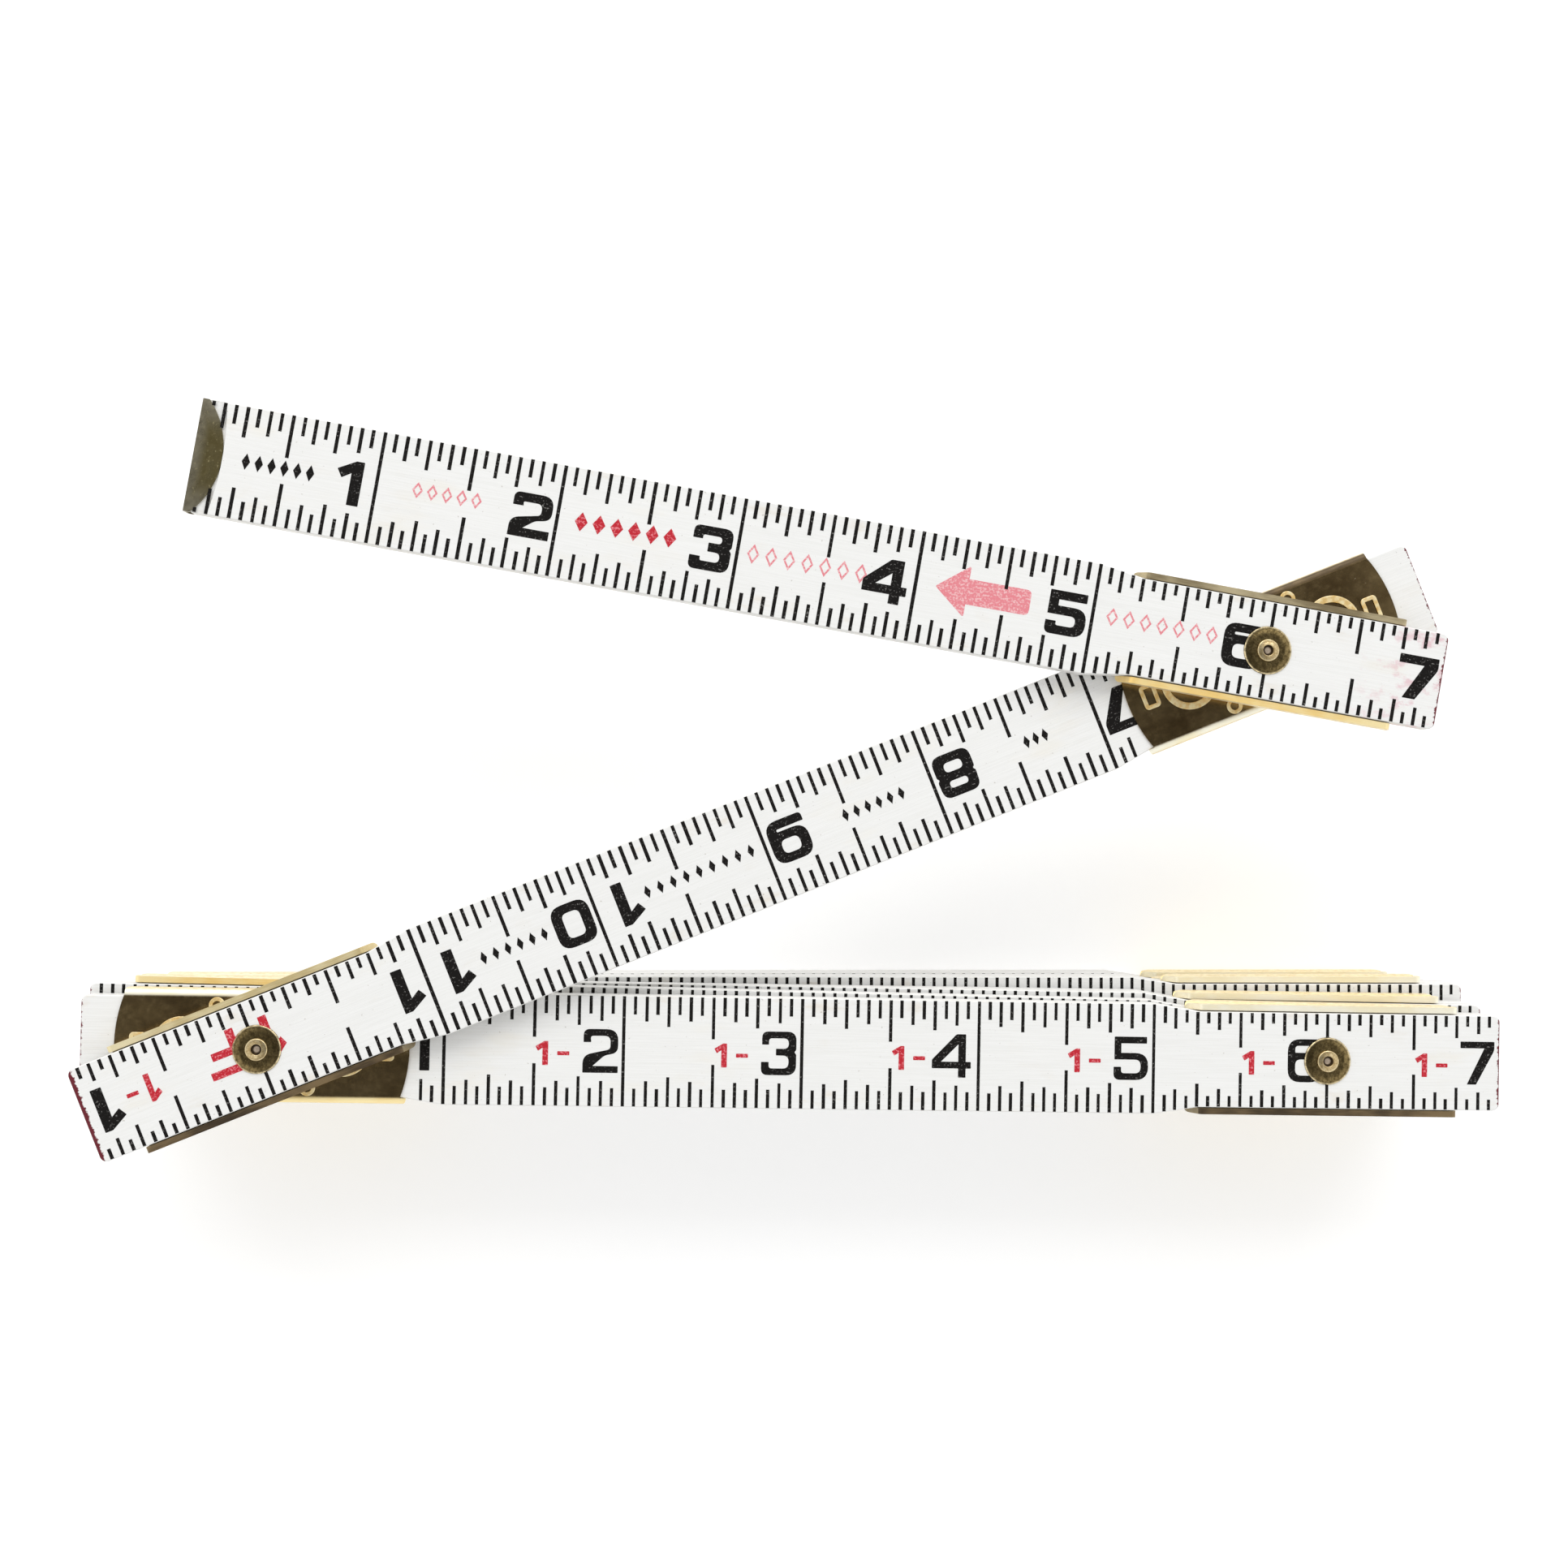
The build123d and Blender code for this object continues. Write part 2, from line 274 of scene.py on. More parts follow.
def enamel(blade):
    """White enamel on wood: a faint grain along the blade, yellowed patches, stains that thicken
    towards its edges, worn edges, and sides painted greyer than the faces as shade. The end grain
    is painted red, and on blade 1 that paint is smeared over the face."""
    look = Look(f"enamel_{blade.number:02d}", IOR=1.48)
    plan = look.plan(blade)
    u, v, _ = look.parts(plan)
    off_middle = look.absolute(v)
    grain = look.streaks(plan, (0.12, 5.0, 5.0), 4.0, 0.6)
    fibres = look.streaks(plan, (0.35, 14.0, 14.0), 2.0)
    patches = look.streaks(plan, (0.05, 0.16, 0.16), 3.0, 0.6)
    blots = look.streaks(plan, (0.11, 0.24, 0.24), 4.0, 0.65)
    ragged = look.streaks(plan, (0.9, 1.6, 1.6), 4.0, 0.7)
    specks = look.noise(plan, 2.3, 2.0)

    face = look.mottle(grain, 0.3, 0.7, ENAMEL)
    face = look.cover(face, patches, 0.60, 0.78, 0.45, YELLOWED)
    by_edge = look.ramp(off_middle, 2.5, 7.0, 0.2, 1)
    stain = look.math("MULTIPLY", look.ramp(blots, 0.57, 0.74, 0, 0.5), by_edge)
    face = look.mix(stain, face, STAINED)
    face = look.cover(face, specks, 0.72, 0.78, 0.55, SPECK)
    from_edge = look.math("SUBTRACT", HALF_WIDTH, off_middle)
    from_worn = look.math("ADD", from_edge, look.math("MULTIPLY", fibres, 0.35))
    face = look.mix(look.ramp(from_worn, 0.12, 0.34, 0.5, 0), face, WORN_EDGE)

    # The sides get a greyer colour than the faces: painted shade.
    side = look.mottle(grain, 0.3, 0.7, SHADED_SIDE)
    side = look.cover(side, fibres, 0.56, 0.74, 0.7, SIDE_FIBRE)
    tint = look.mix(look.ramp(look.level(), 0.35, 0.8, 1, 0), face, side)

    from_middle = look.absolute(look.math("SUBTRACT", u, SPACING / 2))
    to_end = look.math("SUBTRACT", SPACING / 2 + OVERHANG, from_middle)
    if blade.first:
        smudge = look.streaks(plan, (0.30, 0.45, 0.45), 5.0, 0.65)
        fading = look.ramp(to_end, 1, 17, 0.55, 0)
        smear = look.math("MULTIPLY", look.ramp(smudge, 0.50, 0.66), fading)
        tint = look.mix(smear, tint, SMEARED)
    bleed = look.math("MULTIPLY", look.ramp(ragged, 0.38, 0.72), 0.35)
    depths = PAINT_DEPTHS.get(blade.number, DEFAULT_PAINT_DEPTHS)
    painted = look.ramp(u, 0, SPACING, *depths)
    past_paint = look.math("SUBTRACT", look.math("SUBTRACT", to_end, bleed), painted)
    tint = look.mix(look.ramp(past_paint, -0.08, 0.10, 1, 0), tint, END_PAINT)

    look.set("Base Color", tint)
    look.set("Roughness", look.ramp(patches, 0.3, 0.7, 0.38, 0.5))
    look.bump(look.math("ADD", grain, look.math("MULTIPLY", fibres, 0.5)), 0.35, 0.00006)
    return look.material


def ink(name, blade, colour, worn_colour, wear):
    """Printed ink: patchy, with specks where it didn't take."""
    look = Look(f"{name}_{blade.number:02d}", Roughness=0.7, Specular_IOR_Level=0.08)
    plan = look.plan(blade)
    specks = look.noise(plan, 3.2, 4.0, 0.7)
    streaks = look.streaks(plan, (0.8, 4.0, 1.0), 3.0, 0.6)
    shares = look.math("MULTIPLY", specks, 0.7), look.math("MULTIPLY", streaks, 0.3)
    missing = look.math("ADD", *shares)
    look.set("Base Color", look.mottle(missing, wear, wear + 0.07, (colour, worn_colour)))
    look.bump(specks, 0.2, 0.00002)
    return look.material


def plate_brass(name, blade, is_upper):
    """Sheet brass: tarnished on its flats, rubbed bright and painted highlit on the raised parts
    of a lower plate, and half lacquered on the bends, the top of each painted as highlight or
    shade in its own tone."""
    look = Look(f"brass_{name}")
    plan = look.plan(blade)
    _, v, height = look.parts(plan)
    cloud = look.streaks(plan, (0.10, 0.16, 0.16), 3.0, 0.55)
    scratches = look.streaks(plan, (0.4, 9.0, 9.0), 3.0, 0.6)
    mottle = look.noise(plan, 1.3, 4.0, 0.6)
    specks = look.noise(plan, 2.6, 2.0)

    flat = look.mottle(cloud, 0.3, 0.7, FLAT_BRASS)
    flat = look.cover(flat, mottle, 0.5, 0.8, 0.25, FLAT_MOTTLE)
    flat = look.cover(flat, specks, 0.75, 0.79, 0.8, FLAT_SPECK)

    left, right = PAINTED_BEND_LIGHT.get(name, DEFAULT_PAINTED_BEND_LIGHT)
    shares = look.math("MULTIPLY", cloud, 0.8), look.math("MULTIPLY", scratches, 0.2)
    tone = look.ramp(look.math("ADD", *shares), 0.38, 0.62)
    # The top of each bend is painted as highlight or shade, a tone for each side.
    lit_and_shaded_tops = look.mix(look.ramp(v, -1, 1), look.mix(tone, *right), look.mix(tone, *left))
    walls = look.mottle(mottle, 0.3, 0.7, BEND_WALL)
    walls = look.cover(walls, scratches, 0.45, 0.75, 0.3, WALL_SCRATCH)
    bends = look.mix(look.ramp(look.level(), 0.3, 0.75), walls, lit_and_shaded_tops)
    bend = look.ramp(look.absolute(v), HALF_WIDTH - 1.15, HALF_WIDTH - 0.75)

    tint, rubbed = flat, bend
    if not is_upper:
        over_wood = look.math("SUBTRACT", height, WOOD)
        crest_height = SHEET + EMBOSS
        crest = look.ramp(over_wood, crest_height - 0.12, crest_height - 0.02)
        # The crests are rubbed bright and also painted as highlights.
        tint = look.mix(crest, flat, look.mottle(mottle, 0.35, 0.65, CREST_RUBBED_AND_HIGHLIT))
        rubbed = look.math("MAXIMUM", crest, bend)
    look.set("Base Color", look.mix(bend, tint, bends))
    look.set("Metallic", look.math("SUBTRACT", 1.0, look.math("MULTIPLY", bend, 0.45)))
    dull = look.ramp(mottle, 0.3, 0.7, 0.21, 0.27)
    look.set("Roughness", look.math("ADD", dull, look.math("MULTIPLY", rubbed, 0.26)))
    look.bump(scratches, 0.08, 0.00002)
    return look.material


def turned_brass(name, blade, pair, roughness, rim):
    """Pressed brass of the small round parts: a fine mottle of tarnish, and a rim, at that
    radius from a pivot, that is rubbed bright, with a painted highlight on it, and rounded down."""
    look = Look(name, Metallic=1.0)
    plan = look.plan(blade)
    u, v, _ = look.parts(plan)
    mottle = look.noise(plan, 2.0, 5.0, 0.65)
    from_next = look.absolute(look.math("SUBTRACT", u, SPACING))
    radius = look.distance(look.math("MINIMUM", look.absolute(u), from_next), v)
    # The rim is rubbed bright and also painted as a highlight.
    at_rim_highlight = look.ramp(radius, rim - 0.30, rim - 0.12)
    rubbed = look.math("MULTIPLY", at_rim_highlight, look.ramp(mottle, 0.38, 0.6, 0.35, 1))
    tint = look.mottle(mottle, 0.35, 0.68, pair)
    look.set("Base Color", look.mix(rubbed, tint, RUBBED_HIGHLIT_RIM))
    look.set("Roughness", look.ramp(mottle, 0.3, 0.7, roughness + 0.08, roughness))
    fall = look.math("MULTIPLY", look.ramp(radius, rim - 1.1, rim), -4.0)
    look.bump(look.math("ADD", fall, mottle), 1.0, 0.00004)
    return look.material


def cap_brass(name, blade):
    """Tarnished brass of an end cap: paler grey towards its wall and its tips, a painted
    highlight, and flecked on its crown.
    """
    look = Look(name, Metallic=1.0)
    plan = look.plan(blade)
    u, v, _ = look.parts(plan)
    from_end = look.math("SUBTRACT", SPACING, u) if blade.last else u
    cloud = look.noise(plan, 0.7, 4.0, 0.6)
    flecks = look.streaks(plan, (2.4, 1.4, 2.0), 4.0, 0.65)
    # Paler grey towards the end wall and the tips: a painted highlight.
    highlight_by_wall = look.ramp(from_end, 0.2, 1.9, 0.75, 0)
    highlight_by_tips = look.ramp(look.absolute(v), 3.0, 7.6, 0, 0.9)
    tint = look.mottle(cloud, 0.3, 0.7, CAP)
    tint = look.mix(look.math("MAXIMUM", highlight_by_wall, highlight_by_tips), tint, CAP_HIGHLIGHT)
    tint = look.cover(tint, flecks, 0.58, 0.72, 0.6, CAP_FLECK)
    look.set("Base Color", tint)
    look.set("Roughness", look.ramp(cloud, 0.3, 0.7, 0.36, 0.26))
    look.bump(cloud, 0.35, 0.00008)
    return look.material


def core_metal(name, blade):
    """The dull metal at the bottom of a rivet, painted darker round its edge as shade from the
    hole's wall. The rivet stands at the blade's first pivot."""
    look = Look(name, Metallic=0.5, Roughness=0.5)
    plan = look.plan(blade)
    u, v, _ = look.parts(plan)
    grime = look.noise(plan, 2.0, 4.0, 0.6)
    crown = look.mottle(grime, 0.35, 0.65, CORE)
    # Darker towards the edge: painted shade from the hole's wall.
    shade_to_edge = look.ramp(look.distance(u, v), 0.30, 0.55)
    look.set("Base Color", look.mix(shade_to_edge, crown, CORE_SHADE))
    look.bump(grime, 0.3, 0.00004)
    return look.material


def paint_node(name, material):
    """Give a CAD node its material."""
    slots = frame["nodes"][name].data.materials
    slots.clear()
    slots.append(material)


WASHER_ROUGHNESS, EYELET_ROUGHNESS = 0.25, 0.30

for number, blade in blades.items():
    paint_node(f"section_{number:02d}", enamel(blade))
    name = f"washer_brass_{number:02d}"
    washer = turned_brass(name, blade, WASHER, WASHER_ROUGHNESS, WASHER_RADIUS)
    paint_node(f"washers_{number:02d}", washer)
    if not blade.last:
        name = f"joint_{number:02d}_upper_plate"
        paint_node(name, plate_brass(name, blade, True))
        name = f"eyelet_{number:02d}"
        eyelet = turned_brass(name, blade, EYELET, EYELET_ROUGHNESS, RIM_RADIUS)
        paint_node(f"joint_{number:02d}_eyelet", eyelet)
    if not blade.first:
        name = f"joint_{number - 1:02d}_lower_plate"
        paint_node(name, plate_brass(name, blade, False))
for name, number in (("end_cap_start", 1), ("end_cap_finish", BLADES)):
    paint_node(name, cap_brass(name, blades[number]))


# ---- figures ----
# The radius in millimetres of a crisp corner, the least that is rounded, and the most of a side
# that one corner takes.
CRISP = 0.1
LEAST_ROUNDING = 0.02
MOST_OF_SIDE = 0.49


def rounded(corners, steps=6):
    """A closed outline whose corners, each (x, y, radius), are rounded where they can be."""
    points = []
    count = len(corners)
    for index, (x, y, radius) in enumerate(corners):
        here = Vector((x, y))
        to_last = Vector(corners[index - 1][:2]) - here
        to_next = Vector(corners[(index + 1) % count][:2]) - here
        reach = min(radius, MOST_OF_SIDE * to_last.length, MOST_OF_SIDE * to_next.length)
        if reach < LEAST_ROUNDING:
            points.append((x, y))
            continue
        start, stop = here + to_last.normalized() * reach, here + to_next.normalized() * reach
        for step in range(steps + 1):
            t = step / steps
            spot = start * (1 - t) ** 2 + here * 2 * t * (1 - t) + stop * t**2
            points.append(tuple(spot))
    return points


def figure(sign, w, h, a, b):
    """The outlines of a sign, the outer one first: w wide, h high, with stems a thick and bars b
    thick. The signs are the ten figures, an F and a dash."""
    big, small = 0.30 * h, 0.14 * h
    mid, hook, notch = 0.53 * h, 0.30 * h, 0.05 * h
    ring = [(0, 0, big), (w, 0, big), (w, h, big), (0, h, big)]
    if sign == "0":
        hole = [(a, b, small), (a, h - b, small), (w - a, h - b, small), (w - a, b, small)]
        return [rounded(ring), rounded(hole)]
    if sign == "1":
        return [rounded([
            (w - a, 0, CRISP), (w, 0, CRISP), (w, h, CRISP), (w - 0.7 * a, h, CRISP),
            (0, 0.78 * h, CRISP), (0.20 * w, 0.59 * h, CRISP), (w - a, 0.72 * h, 0),
        ])]
    if sign == "2":
        return [rounded([
            (0, 0, CRISP), (w, 0, CRISP), (w, b, CRISP), (1.3 * a, b, 0.05),
            (0.62 * w, 0.40 * h, 0.5), (w, 0.46 * h, 0.25 * h), (w, h, big), (0.02 * w, h, big),
            (0.02 * w, h - hook, CRISP), (a + 0.02 * w, h - hook, CRISP), (a, h - b, small),
            (w - a, h - b, small), (w - a, 0.54 * h, 0.5), (0, 0.40 * h, 0.26 * h),
        ])]
    if sign == "3":
        return [rounded([
            (0, hook, CRISP), (0, 0, big), (w, 0, big), (w, mid - notch, 0.6),
            (w - 0.06 * w, mid, 0.3), (w, mid + notch, 0.6), (w, h, big), (0.02 * w, h, big),
            (0.02 * w, h - hook, CRISP), (a, h - hook, CRISP), (a, h - b, small),
            (w - a, h - b, small), (w - a, mid + b / 2, small), (0.42 * w, mid + b / 2, CRISP),
            (0.42 * w, mid - b / 2, CRISP), (w - a, mid - b / 2, small), (w - a, b, small),
            (a, b, small), (a, hook, CRISP),
        ])]
    if sign == "4":
        right, bar = w - 0.13 * w, 0.21 * h
        outer = [
            (right - a, 0, CRISP), (right, 0, CRISP), (right, bar, 0), (w, bar, CRISP),
            (w, bar + b, CRISP), (right, bar + b, 0), (right, h, CRISP),
            (right - 1.25 * a, h, 0.2), (0, bar + 1.3 * b, 0.2), (0, bar, CRISP),
            (right - a, bar, 0),
        ]
        hole = [(1.2 * a, bar + b, 0), (right - a, h - 1.5 * b, 0), (right - a, bar + b, 0)]
        return [rounded(outer), rounded(hole)]
    if sign == "5":
        return [rounded([
            (0, hook, CRISP), (0, 0, big), (w, 0, big), (w, mid + 0.62 * b, big),
            (a, mid + 0.62 * b, 0.05), (a, h - b, 0.05), (0.96 * w, h - b, CRISP),
            (0.96 * w, h, CRISP), (0.02 * w, h, CRISP), (0.02 * w, mid - 0.38 * b, CRISP),
            (w - a, mid - 0.38 * b, small), (w - a, b, small), (a, b, small), (a, hook, CRISP),
        ])]
    if sign in "69":
        outer = [
            (0, 0, big), (w, 0, big), (w, mid + b, big), (a, mid + b, 0.2),
            (a, h - b, small), (w - a, h - b, small), (w - a, 0.8 * h, CRISP),
            (0.98 * w, 0.8 * h, CRISP), (0.98 * w, h, big), (0, h, big),
        ]
        hole = [(a, b, small), (a, mid, small), (w - a, mid, small), (w - a, b, small)]
        if sign == "9":
            outer = [(w - x, h - y, r) for x, y, r in outer]
            hole = [(w - x, h - y, r) for x, y, r in hole]
        return [rounded(outer), rounded(hole)]
    if sign == "7":
        return [rounded([
            (0.20 * w, 0, CRISP), (0.20 * w + 1.25 * a, 0, CRISP), (w, h - 1.3 * b, 0.4),
            (w, h, CRISP), (0, h, CRISP), (0, h - b, CRISP), (w - 1.35 * a, h - b, 0),
        ])]
    if sign == "8":
        outer = [
            (0, 0, big), (w, 0, big), (w, mid - notch, 0.6), (0.94 * w, mid, 0.3),
            (w, mid + notch, 0.6), (0.98 * w, h, big), (0.02 * w, h, big),
            (0, mid + notch, 0.6), (0.06 * w, mid, 0.3), (0, mid - notch, 0.6),
        ]
        low, high = mid - b / 2, mid + b / 2
        lower = [(a, b, small), (a, low, small), (w - a, low, small), (w - a, b, small)]
        upper = [(a, high, small), (a, h - b, small), (w - a, h - b, small), (w - a, high, small)]
        return [rounded(outer), rounded(lower), rounded(upper)]
    if sign == "F":
        return [rounded([
            (0, 0, CRISP), (a, 0, CRISP), (a, 0.40 * h, 0), (0.82 * w, 0.40 * h, CRISP),
            (0.82 * w, 0.40 * h + b, CRISP), (a, 0.40 * h + b, 0), (a, h - b, 0),
            (w, h - b, CRISP), (w, h, CRISP), (0, h, CRISP),
        ])]
    return [rounded([(0, 0, CRISP), (w, 0, CRISP), (w, h, CRISP), (0, h, CRISP)])]


class Print:
    """Ink printed on a blade's faces, as thin closed prisms that stand just proud of them. An
    underprint stands less proud, so that other ink shows over it."""

    PROUD, UNDERPRINT, SUNK = 0.00002, 0.00001, 0.00001
    SHORTEST_BAR = 0.1

    def __init__(self, name, blade, proud=PROUD):
        self.name, self.blade, self.proud = name, blade, proud
        self.points, self.faces = [], []

    def outline(self, loops, under):
        """Add a sign. On the underside the plan is mirrored, so it reads right from below."""
        blade = self.blade
        z_face = blade.low if under else blade.high
        out = -1 if under else 1
        flat = [Vector((u, v, 0)) for loop in loops for u, v in loop]
        base = len(self.points)
        for z in (z_face + out * self.proud, z_face - out * self.SUNK):
            self.points += [blade.place(spot.x, out * spot.y, z) for spot in flat]
        size = len(flat)
        for face in tessellate_polygon([[Vector((u, v, 0)) for u, v in loop] for loop in loops]):
            self.faces.append(tuple(base + index for index in face))
            self.faces.append(tuple(base + size + index for index in reversed(face)))
        start = base
        for loop in loops:
            count = len(loop)
            for index in range(count):
                left, right = start + index, start + (index + 1) % count
                self.faces.append((left, right, right + size, left + size))
            start += count

    def bar(self, u, low, high, width, under):
        """Add a straight mark across the blade, if there is room for one."""
        if high - low < self.SHORTEST_BAR:
            return
        half = width / 2
        corners = [(u - half, low), (u + half, low), (u + half, high), (u - half, high)]
        self.outline([corners], under)

    def sign(self, sign, left, bottom, size, thickness, under):
        """Add a figure with its lower left corner at a place in the plan."""
        loops = figure(sign, *size, *thickness)
        self.outline([[(left + x, bottom + y) for x, y in loop] for loop in loops], under)

    def make(self, material):
        """Turn it into a piece that rides on its blade."""
        mesh = bpy.data.meshes.new(self.name)
        mesh.from_pydata(self.points, [], self.faces)
        mesh.materials.append(material)
        shell = bmesh.new()
        shell.from_mesh(mesh)
        bmesh.ops.recalc_face_normals(shell, faces=shell.faces)
        shell.to_mesh(mesh)
        shell.free()
        piece = add_object(self.name, mesh)
        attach(piece, self.blade.body)


# ---- graduations and their figures ----
# The lengths of the marks, by how many sixteenths lie between two of a kind. An inch line runs
# right across.
TICK_LENGTHS = {16: None, 8: 6.1, 4: 4.35, 2: 3.65, 1: 2.7}
EDGE_GAP = 0.12
CAP_GAP = 0.15
END_GAP = 0.4
TICK_SHIFT, TICK_STRETCH = 0.04, 0.08
TICK_THINNER, TICK_THICKER = -0.04, 0.03

# A blade's style: how wide its marks are, how wide and thick its figures, how wide a 1 is and its
# stem, and the small red feet before a figure: their middle, height and reach before the line.
Style = namedtuple("Style", "line width thickness one stem red_middle red_height red_reach")
BOLD = Style(0.50, 5.7, (1.50, 1.26), 3.6, 1.6, -0.5, 4.0, 11.3)
LIGHT = Style(0.46, 5.0, (1.08, 0.95), 3.2, 1.4, -0.4, 3.4, 12.5)
BOLD_BLADES = (1, 2)

# The last inch line of a blade, and how far past the print a line still has its figure.
LAST_PLACE = 7
PAST_PRINT = 1.0

# Black figures: their gaps from the inch line, and for 10 and 11 where the middles of the stems
# stand and the room that the second figure needs.
FIGURE_HEIGHT = 6.2
FIGURE_BOTTOM = -FIGURE_HEIGHT / 2
FIGURE_GAP, FOUR_GAP, FOUR_WIDER = 0.8, 1.1, 0.6
ONE_GAP, LEFT_STEM, RIGHT_STEM, RIGHT_ROOM = 2.0, -3.8, 3.7, 6.5
ZERO_GAP, ZERO_WIDTH = 0.75, 5.6

# Small red feet, with a dash, before a black figure.
SMALL_ONE_WIDTH, SMALL_WIDTH, SMALL_THICKNESS = 1.8, 2.3, (0.80, 0.7)
DASH_SHIFT, DASH_SIZE, DASH_THICKNESS = 3.1, (1.7, 0.56), (0.5, 0.5)

# Big red feet before a foot line, as (reach, width), and the letter past it with its room.
BIG_ONE, BIG_FIGURE = (4.2, 2.6), (6.1, 4.6)
LETTER_GAP, LETTER_WIDTH, LETTER_ROOM = 2.1, 5.0, 8.0
BIG_BOTTOM, BIG_HEIGHT, BIG_THICKNESS = -4.1, 6.1, (1.2, 1.1)


def style_of(blade):
    """The two blades at the start of the rule have the bolder print."""
    return BOLD if blade.number in BOLD_BLADES else LIGHT


def cap_reach(blade, u):
    """How far from the middle the end cap still covers the blade, at a place along it."""
    to_ends = []
    if blade.first:
        to_ends.append(u)
    if blade.last:
        to_ends.append(SPACING - u)
    depth = min(to_ends, default=CAP_DEPTH)
    if depth >= CAP_DEPTH:
        return 0.0
    return HALF_WIDTH * sqrt((CAP_DEPTH - depth) / (CAP_DEPTH - CAP_SIDE_DEPTH)) + CAP_GAP


def scale_range(blade, under):
    """The stretch of a face that is printed: the brass plate and what is past it are bare."""
    low = 0 if blade.first else (-OVERHANG if under else PLATE_END)
    high = SPACING if blade.last else (SPACING - PLATE_END if under else SPACING + OVERHANG)
    return low, high


def graduate(black, blade, under, draw):
    """Sixteenths along both edges of a face."""
    low, high = scale_range(blade, under)
    step = INCH / 16
    for index in range(round(low / step) - 1, round(high / step) + 2):
        u = index * step
        if not low + END_GAP < u < high - END_GAP:
            continue
        kind = next(size for size in TICK_LENGTHS if index % size == 0)
        u += draw.uniform(-TICK_SHIFT, TICK_SHIFT)
        width = style_of(blade).line + draw.uniform(TICK_THINNER, TICK_THICKER)
        edge = blade.half_width(u) - EDGE_GAP
        blocked = cap_reach(blade, u)
        if under and not blade.first and abs(u) < SEAT_RADIUS:
            blocked = max(blocked, sqrt(SEAT_RADIUS**2 - u**2))
        length = TICK_LENGTHS[kind]
        if length is None and not blocked:
            black.bar(u, -edge, edge, width, under)
            continue
        inner = 0 if length is None else HALF_WIDTH - length
        for side in (-1, 1):
            start = max(blocked, inner + draw.uniform(-TICK_STRETCH, TICK_STRETCH))
            ends = sorted((side * start, side * edge))
            black.bar(u, *ends, width, under)


def number_foot(red, feet, line, has_letter, under):
    """The feet before a foot line, and the letter F past it."""
    reach, width = BIG_ONE if feet == 1 else BIG_FIGURE
    red.sign(str(feet), line - reach, BIG_BOTTOM, (width, BIG_HEIGHT), BIG_THICKNESS, under)
    if has_letter:
        left, size = line + LETTER_GAP, (LETTER_WIDTH, BIG_HEIGHT)
        red.sign("F", left, BIG_BOTTOM, size, BIG_THICKNESS, under)


def number_feet(red, feet, line, style, under):
    """The feet and a dash, small, before the figure of an inch."""
    left = line - style.red_reach
    bottom = style.red_middle - style.red_height / 2
    size = (SMALL_ONE_WIDTH if feet == 1 else SMALL_WIDTH, style.red_height)
    red.sign(str(feet), left, bottom, size, SMALL_THICKNESS, under)
    bottom = style.red_middle - DASH_SIZE[1] / 2
    red.sign("-", left + DASH_SHIFT, bottom, DASH_SIZE, DASH_THICKNESS, under)


def number_one(black, left, style, under):
    """A black 1, alone or in 10 and 11."""
    size, thickness = (style.one, FIGURE_HEIGHT), (style.stem, style.stem)
    black.sign("1", left, FIGURE_BOTTOM, size, thickness, under)


def number_inches(black, red, blade, under):
    """Figures before each inch line. The two figures of 10 and 11 stand either side of the line.
    Past a foot they carry the feet in red, and at a foot line there are only the feet."""
    high = scale_range(blade, under)[1]
    style = style_of(blade)
    from_stem = style.stem / 2 - style.one
    for place in range(1, LAST_PLACE + 1):
        line = place * INCH
        if line > high + PAST_PRINT or (blade.last and place == INCHES):
            continue
        feet, rest = divmod(place + INCHES * (blade.number - 1), INCHES_IN_FOOT)
        if rest == 0:
            number_foot(red, feet, line, line + LETTER_ROOM < high or not under, under)
            continue
        if feet and (under or place > 1):
            number_feet(red, feet, line, style, under)
        if rest == 1:
            number_one(black, line - ONE_GAP - style.one, style, under)
        elif rest < 10:
            gap, wider = (FOUR_GAP, FOUR_WIDER) if rest == 4 else (FIGURE_GAP, 0)
            size = (style.width + wider, FIGURE_HEIGHT)
            left = line - gap - size[0]
            black.sign(str(rest), left, FIGURE_BOTTOM, size, style.thickness, under)
        else:
            number_one(black, line + LEFT_STEM + from_stem, style, under)
            if line + RIGHT_ROOM > high:
                continue
            if rest == 11:
                number_one(black, line + RIGHT_STEM + from_stem, style, under)
            else:
                left, size = line + ZERO_GAP, (ZERO_WIDTH, FIGURE_HEIGHT)
                black.sign("0", left, FIGURE_BOTTOM, size, style.thickness, under)


# ---- plain marks in place of lettering ----
# Rows of diamonds: start, stop, v, how many, (width, height), and the wall of hollow ones.
BLACK_ROWS = {
    1: [(6.4, 17.1, 0.3, 6, (1.15, 2.3))],
    2: [
        (32.6, 36.8, -0.4, 3, (0.95, 1.9)),
        (54.6, 64.8, -0.2, 6, (0.95, 1.9)),
        (77.3, 94.9, -0.4, 9, (0.95, 1.9)),
        (108.6, 119.5, -0.2, 6, (0.95, 1.9)),
    ],
}
RED_ROWS = {1: [(52.9, 67.9, 0.45, 6, (1.8, 2.7))]}
PALE_ROWS = [
    (30.1, 40.4, 0.7, 5, (1.5, 2.3), 0.26),
    (77.2, 95.1, 0.35, 7, (1.7, 2.8), 0.26),
    (128.6, 145.4, 0.7, 7, (1.7, 2.6), 0.26),
]
# The arrow's tip, v, length, length of its head and width of its shaft.
ARROW = (104.4, 0.55, 13.6, 4.6, 3.6)


